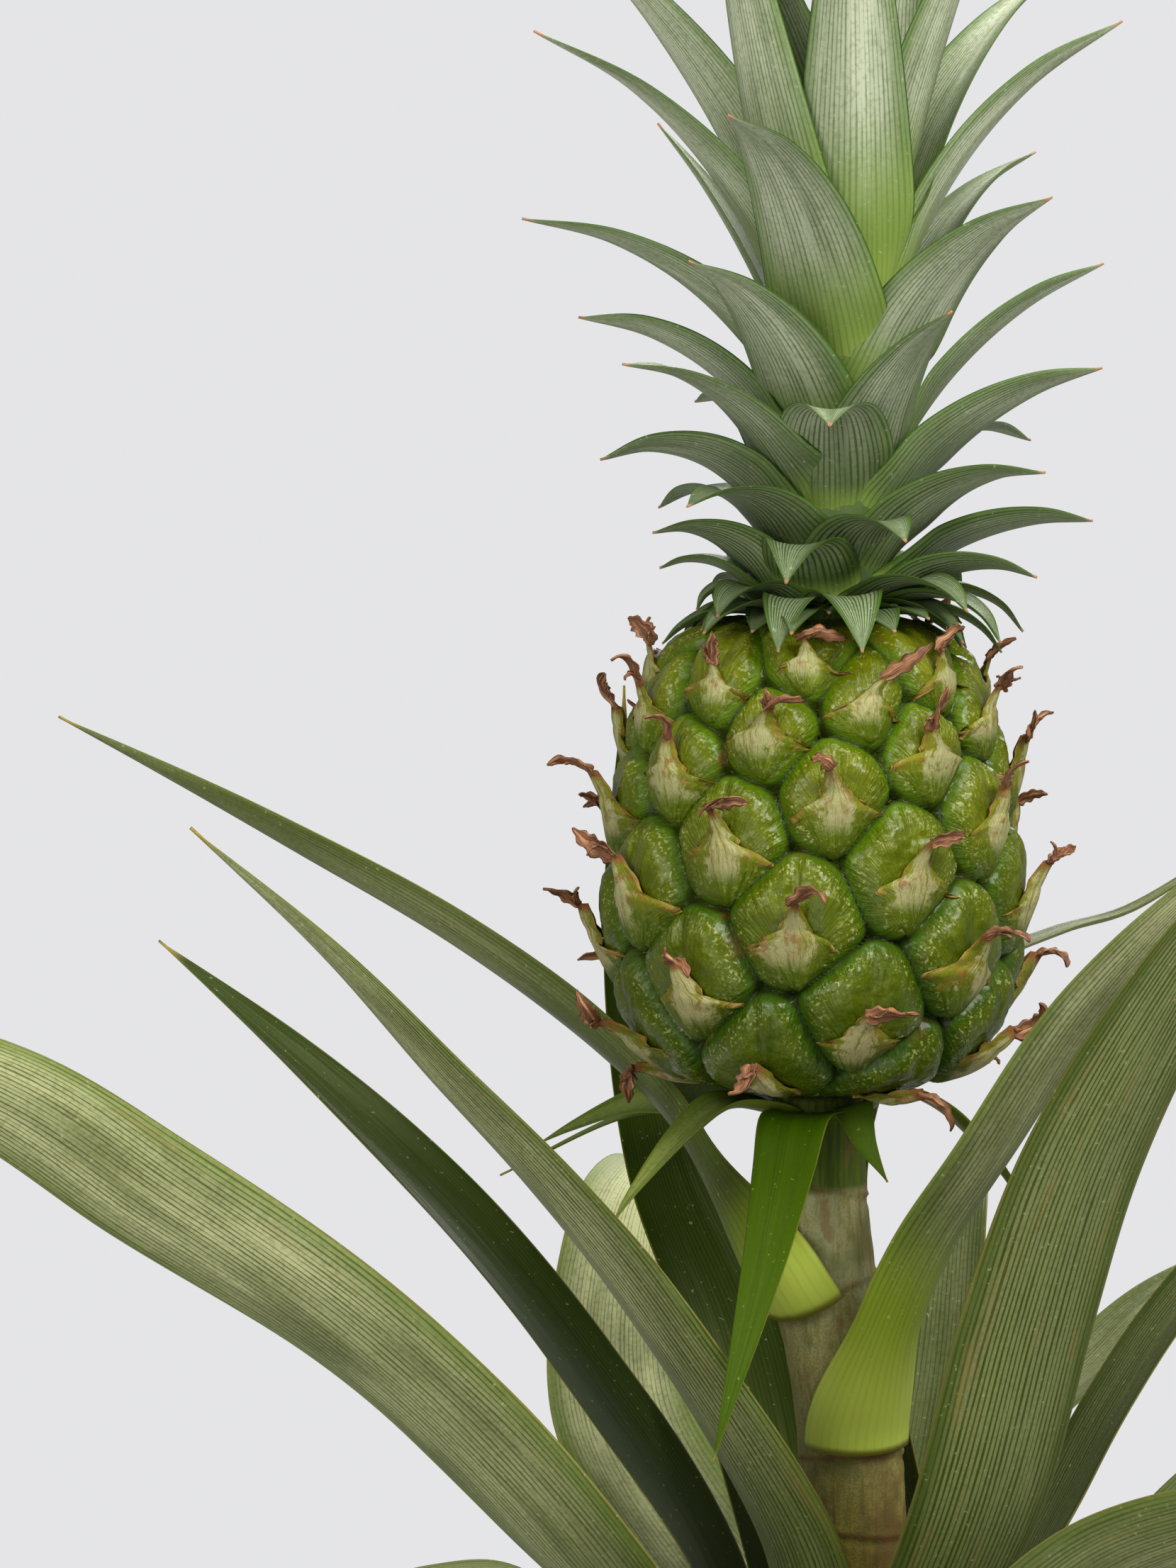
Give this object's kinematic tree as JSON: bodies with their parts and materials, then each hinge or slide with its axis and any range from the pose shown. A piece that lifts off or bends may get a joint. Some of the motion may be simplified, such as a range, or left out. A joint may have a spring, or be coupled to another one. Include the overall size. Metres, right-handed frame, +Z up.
{
  "type": "potted pineapple plant",
  "caption": "Fruiting pineapple plant with a leafy crown on its fruit, long arching strap leaves round the stem, soil and a plain round pot.",
  "frame": {"origin": "middle of the pot's underside, where it rests", "axes": "+Z up along the pot and the stem, +X to the right and +Y away from the camera in the pictured view"},
  "size_m": [0.4684, 0.4924, 0.5646],
  "materials": {
    "pot": "satin",
    "soil": "matte",
    "stem": "matte",
    "fruit": "satin",
    "crown": "satin",
    "leaf": "satin"
  },
  "bodies": {
    "root": {"pot": "pot", "soil": "soil", "stem": "stem", "fruit": "fruit", "crown": "crown", "leaf_front_left_long": "leaf", "leaf_front_left_narrow": "leaf", "leaf_back_left_dark": "leaf", "leaf_back_left_steep": "leaf", "leaf_back_left_arching": "leaf", "leaf_back_right_arching": "leaf", "leaf_front_right_long": "leaf", "leaf_right_folded": "leaf", "leaf_back_right_low": "leaf", "leaf_back_right_thin": "leaf", "leaf_front_right_low": "leaf", "leaf_stalk_right": "leaf", "leaf_stalk_left": "leaf", "leaf_lower_01": "leaf", "leaf_lower_02": "leaf", "leaf_lower_03": "leaf", "leaf_lower_04": "leaf", "leaf_lower_05": "leaf", "leaf_lower_06": "leaf", "leaf_lower_07": "leaf", "leaf_lower_08": "leaf", "leaf_lower_09": "leaf", "leaf_lower_10": "leaf", "leaf_lower_11": "leaf"}
  },
  "joints": []
}
